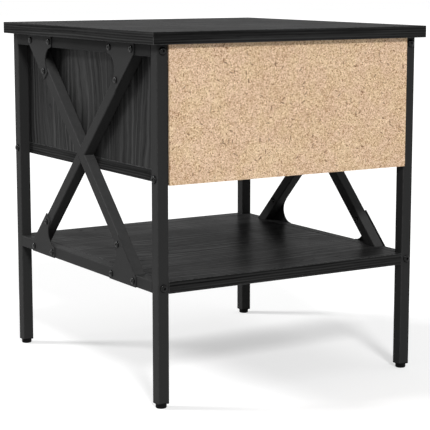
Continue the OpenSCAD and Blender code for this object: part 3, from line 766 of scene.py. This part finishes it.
lining, tree, shader, spot, facing = new_finish("charcoal_board")
threads = None
for pull_out in ((THREAD_PULL, 1.0, 1.0), (1.0, THREAD_PULL, 1.0),
                 (1.0, 1.0, THREAD_PULL)):
    pulled = put(tree, "Mapping", {"Vector": spot,
                                   "Scale": pull_out}).outputs[0]
    thread = noise(tree, pulled, THREAD_SCALE, 1.0)
    threads = thread if threads is None else calc(
        tree, "MAXIMUM", threads, thread)
edge_mask = place(tree, edge_wear_and_highlight, Position=spot, Facing=facing,
               Slanted=0.0)["Mask"]
colour = blend(tree, stretch(tree, threads, 0.45, 0.75), LINING_DARK,
               LINING_PALE)
colour = blend(tree, calc(tree, "MULTIPLY", edge_mask, LINING_RUB_SHARE),
               colour, LINING_RUBBED)
feed(tree, shader.inputs["Base Color"], colour)
feed(tree, shader.inputs["Roughness"],
     uneven_roughness(tree, spot, *LINING_ROUGH))
shader.inputs["Specular IOR Level"].default_value = LINING_GLOSS
emboss(tree, shader, threads, THREAD_STRENGTH, THREAD_DEPTH)
print("charcoal_board:", len(tree.nodes), "nodes")

# %% [markdown]
# ## Beech dowels
#
# The dowels hold the boards together and are out of sight once the table is
# assembled. They still get their wood: pale beech with the short dark flecks
# that it is known by.

# %% Finish: beech
BEECH_DARK, BEECH_PALE = shade(196, 158, 118), shade(224, 190, 150)
BEECH_FLECK, FLECK_SHARE, FLECK_SCALE = shade(140, 98, 64), 0.5, 1500.0
BEECH_TINT_SCALE, BEECH_ROUGH = 180.0, (0.60, 0.75)
FLECK_STRENGTH, FLECK_DEPTH = 0.3, 0.0001

beech, tree, shader, spot, facing = new_finish("beech_dowel")
flecks = stretch(tree, noise(tree, spot, FLECK_SCALE, 1.0), 0.60, 0.70)
tints = noise(tree, spot, BEECH_TINT_SCALE, 3.0)
colour = blend(tree, tints, BEECH_DARK, BEECH_PALE)
colour = blend(tree, calc(tree, "MULTIPLY", flecks, FLECK_SHARE), colour,
               BEECH_FLECK)
feed(tree, shader.inputs["Base Color"], colour)
feed(tree, shader.inputs["Roughness"],
     stretch(tree, tints, USUAL_LOW, USUAL_HIGH, *BEECH_ROUGH))
emboss(tree, shader, flecks, FLECK_STRENGTH, FLECK_DEPTH)
print("beech_dowel:", len(tree.nodes), "nodes")

# %% [markdown]
# ## Giving each piece its finish
#
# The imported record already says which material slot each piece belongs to.
# Most slots have one finish here. The black boards and the black steel have
# several, and the start of a piece's name says which one it gets.

# %% Finishes by slot and piece
BY_SLOT = {"raw_board": bare_board, "black_plastic": plastic,
           "dark_screw": blackened, "zinc": zinc, "ball_steel": ball,
           "grey_board": lining, "beech": beech,
           "black_board": foil_flat, "black_steel": paint}
BY_NAME = {"case_side": foil_side, "drawer_front": foil_front,
           "tabletop": foil_top, "brace": paint_slanted_top_lit,
           "lower_rail": paint_low_rails, "top_rail": paint_top_rails_shaded}
SPECIAL_SLOTS = ("black_board", "black_steel")


def finish_for(name, slot):
    if slot in SPECIAL_SLOTS:
        for start, finish in BY_NAME.items():
            if name.startswith(start):
                return finish
    return BY_SLOT[slot]


slot_of = {name: piece.material_slots[0].material.name
           for name, piece in nodes.items()}
for name, piece in nodes.items():
    piece.material_slots[0].material = finish_for(name, slot_of[name])
print("finishes on", len(nodes), "pieces in", len(set(slot_of.values())),
      "slots")

# %% [markdown]
# ## Softened edges
#
# A sharp modelled edge never catches light, and a real one always does: the
# foil on a board's edge is rounded by half a millimetre, and punched sheet
# steel by less. A Bevel modifier makes the rounding. It can be no wider than
# the shortest edge it touches, so the small holes for dowels and screws have
# to be left out of it.
#
# So a little geometry node group first marks the edges to be rounded, by
# their length and by how sharply they bend outwards. One marker finds the
# long edges of boards and runners. Another takes the shorter steps of a
# plate's hollowed outline too. The third finds the ring where the rim of a
# screw's dome turns into its side. The model's own mesh stays as it is; all
# of this happens in modifiers.

# %% Geometry groups that mark edges
def new_modifier_group(name):
    tree = bpy.data.node_groups.new(name, "GeometryNodeTree")
    tree.is_modifier = True
    for way in ("INPUT", "OUTPUT"):
        tree.interface.new_socket(name="Geometry", in_out=way,
                                  socket_type="NodeSocketGeometry")
    return tree


def edge_marker(name, length_range, bend_range):
    """Marks edges of a length in metres that bend outwards by an angle."""
    tree = new_modifier_group(name)
    ends = tree.nodes.new("GeometryNodeInputMeshEdgeVertices").outputs
    angle = tree.nodes.new("GeometryNodeInputMeshEdgeAngle").outputs
    mark = tree.nodes.new("GeometryNodeStoreNamedAttribute")
    mark.data_type, mark.domain = "FLOAT", "EDGE"
    mark.inputs["Name"].default_value = "bevel_weight_edge"
    length = vec(tree, "DISTANCE", ends["Position 1"], ends["Position 2"])
    chosen = 1.0
    for value, (low, high) in ((length, length_range),
                               (angle["Signed Angle"], bend_range)):
        for test, limit in (("GREATER_THAN", low), ("LESS_THAN", high)):
            chosen = calc(tree, "MULTIPLY", chosen,
                          calc(tree, test, value, limit))
    tree.links.new(chosen, mark.inputs["Value"])
    tree.links.new(tree.nodes.new("NodeGroupInput").outputs[0],
                   mark.inputs["Geometry"])
    tree.links.new(mark.outputs[0],
                   tree.nodes.new("NodeGroupOutput").inputs[0])
    return tree


LONG_EDGE, OUTLINE_STEP, HEAD_STEP, ANY_LENGTH = 0.008, 0.001, 0.0001, 10.0
SHARP, HEAD_BEND = math.radians(40), math.radians(21)
long_edges = edge_marker("mark_long_edges", (LONG_EDGE, ANY_LENGTH),
                         (SHARP, math.pi))
plate_edges = edge_marker("mark_plate_edges", (OUTLINE_STEP, ANY_LENGTH),
                          (SHARP, math.pi))
head_rings = edge_marker("mark_head_rings", (HEAD_STEP, OUTLINE_STEP),
                         (HEAD_BEND, SHARP))
print("edge markers: long edges, plate outlines, rings of screw heads")

# %% [markdown]
# A curve in the model is a row of narrow flat facets. Smooth shading hides
# the facets, but it must stop at real corners. The next group drops the
# shading that came with the model and shades smoothly across every edge that
# bends less than a given crease angle. A dome has few facets that bend a lot,
# so it gets a wider angle than cut sheet does.

# %% Geometry groups that shade curves smoothly and flats flat
def curve_shading(name, crease):
    tree = new_modifier_group(name)
    forget = tree.nodes.new("GeometryNodeRemoveAttribute")
    forget.inputs["Name"].default_value = "custom_normal"
    rounded = tree.nodes.new("GeometryNodeSetShadeSmooth")
    creased = tree.nodes.new("GeometryNodeSetShadeSmooth")
    creased.domain = "EDGE"
    creased.inputs["Shade Smooth"].default_value = False
    bend = tree.nodes.new("GeometryNodeInputMeshEdgeAngle").outputs
    tree.links.new(calc(tree, "GREATER_THAN", bend["Unsigned Angle"], crease),
                   creased.inputs["Selection"])
    chain = [tree.nodes.new("NodeGroupInput"), forget, rounded, creased,
             tree.nodes.new("NodeGroupOutput")]
    for first, second in zip(chain, chain[1:]):
        tree.links.new(first.outputs[0], second.inputs[0])
    return tree


DOME_CREASE, SHEET_CREASE = math.radians(35), math.radians(12)
smooth_domes = curve_shading("smooth_domes", DOME_CREASE)
smooth_curves = curve_shading("smooth_curves", SHEET_CREASE)
print("shading groups for domes and for cut sheet")

# %% [markdown]
# Each softened piece gets four modifiers in a row. Weld joins the model's
# separate faces, a marker picks the edges, Bevel rounds them, and the shading
# group has the last word. The tubes and bars are left out, because their long
# corners are rounded in the model already. Small pieces such as the feet, the
# nuts and the balls stay as they are too.

# %% Soften the boards, the sheet steel and the screw heads
EDGE_WIDTH = {"black_board": 0.0006, "grey_board": 0.0004,
              "raw_board": 0.0002}
HEAD_EDGE, PLATE_EDGE, RUNNER_EDGE = 0.00035, 0.0003, 0.0002
RUNNER_SHEETS = ("runner_outer_left", "runner_outer_right",
                 "runner_inner_left", "runner_inner_right")
WELD_REACH, BEVEL_STEPS = 2e-6, 2


def soften(piece, width, marker=long_edges, shading=smooth_curves):
    piece.modifiers.new("join_faces", "WELD").merge_threshold = WELD_REACH
    piece.modifiers.new("mark_edges", "NODES").node_group = marker
    bevel = piece.modifiers.new("soft_edge", "BEVEL")
    bevel.width, bevel.segments = width, BEVEL_STEPS
    bevel.limit_method = "WEIGHT"
    piece.modifiers.new("shading", "NODES").node_group = shading


softened = set()
for name, piece in nodes.items():
    slot = slot_of[name]
    if slot in EDGE_WIDTH:
        soften(piece, EDGE_WIDTH[slot])
    elif slot == "dark_screw":
        soften(piece, HEAD_EDGE, head_rings, smooth_domes)
    elif name.startswith("gusset_") or name == "drawer_pull":
        soften(piece, PLATE_EDGE, plate_edges)
    elif name in RUNNER_SHEETS:
        soften(piece, RUNNER_EDGE)
    else:
        continue
    softened.add(name)
print(len(softened), "pieces with softened edges")

# %% [markdown]
# ## The studio
#
# The floor and the background are plain white. If they were made white by
# strong lamps, the table would be over-lit. Instead, the world is white only
# to rays that come from the camera or from a reflection, and weaker to the
# rays that light the table. The floor is pale paper. To the camera and to
# reflections it also gives out a little light of its own, so that it reads as
# white, while the table's soft shadow still shows on it.

# %% World
WORLD_LIGHT = 0.28      # to the rays that light the table
WHITE = (1, 1, 1, 1)


def seen_directly(tree):
    """1 for camera, mirror and glass rays, and 0 for rays that light."""
    path = put(tree, "LightPath").outputs
    seen = calc(tree, "MAXIMUM", path["Is Camera Ray"],
                path["Is Glossy Ray"])
    return calc(tree, "MAXIMUM", seen, path["Is Transmission Ray"])


world = bpy.data.worlds.new("white_studio")
bpy.context.scene.world = world
world.use_nodes = True
tree = world.node_tree
background = tree.nodes["Background"]
background.inputs["Color"].default_value = WHITE
feed(tree, background.inputs["Strength"],
     stretch(tree, seen_directly(tree), 0.0, 1.0, WORLD_LIGHT, 1.0))
print("world: white to look at,", WORLD_LIGHT, "to the table")

# %% Floor
FLOOR_HALF = 15.0
FLOOR_GLOW = 0.52
PAPER_DARK, PAPER_PALE, PAPER_SCALE = grey(192), grey(198), 3.0
PAPER_ROUGHNESS = 0.9

floor_mesh = bpy.data.meshes.new("floor")
floor_mesh.from_pydata([(-FLOOR_HALF, -FLOOR_HALF, 0),
                        (FLOOR_HALF, -FLOOR_HALF, 0),
                        (FLOOR_HALF, FLOOR_HALF, 0),
                        (-FLOOR_HALF, FLOOR_HALF, 0)], [], [(0, 1, 2, 3)])
floor = bpy.data.objects.new("floor", floor_mesh)
floor.location.z = cad_low.z
bpy.context.scene.collection.objects.link(floor)
paper, tree, shader, spot, facing = new_finish("white_floor")
feed(tree, shader.inputs["Base Color"],
     blend(tree, noise(tree, spot, PAPER_SCALE), PAPER_DARK, PAPER_PALE))
shader.inputs["Roughness"].default_value = PAPER_ROUGHNESS
shader.inputs["Specular IOR Level"].default_value = 0.0
shader.inputs["Emission Color"].default_value = WHITE
feed(tree, shader.inputs["Emission Strength"],
     calc(tree, "MULTIPLY", seen_directly(tree), FLOOR_GLOW))
floor_mesh.materials.append(paper)
print("floor", FLOOR_HALF * 2, "m across")

# %% [markdown]
# ## The lamps
#
# Real studio lamps are boxes with a cloth front. Close to a small table they
# light the floor unevenly, so here each box is a Sun lamp: its light comes
# from one side and is the same all over the floor. The lamp's angle is the
# width that the box would have as seen from the table. A narrow box draws
# clear shadows, and a wide one nearly none.
#
# The main lamp stands in front, to the right, and draws the shadows of the
# crossed bars on the case's side. One behind and above lights the bare back
# and leaves the thin shadow of the overhanging top on it. The third is a wide
# one nearly overhead, which lifts the darkest places a little.

# %% Lamps
def soft_lamp(name, direction, width, level):
    """A lamp of that angular width in degrees. A white sheet that faces it is
    lit to the level, where 1 is full white."""
    data = bpy.data.lights.new(name, "SUN")
    data.angle = math.radians(width)
    data.energy = level * math.pi
    lamp = bpy.data.objects.new(name, data)
    lamp.rotation_mode = "QUATERNION"
    lamp.rotation_quaternion = (-Vector(direction)).to_track_quat("-Z", "Y")
    bpy.context.scene.collection.objects.link(lamp)


soft_lamp("main_lamp", (0.66, -0.47, 0.56), width=14, level=0.85)
soft_lamp("back_lamp", (0.28, 0.76, 0.58), width=9, level=0.63)
soft_lamp("high_lamp", (-0.20, 0.12, 0.97), width=36, level=0.12)
print("lamps: main, back and high")

# %% [markdown]
# ## Picture settings
#
# The Standard view shows a colour as it was written, which suits a product
# picture.

# %% Finish
bpy.context.scene.view_settings.view_transform = "Standard"

bpy.context.view_layer.update()
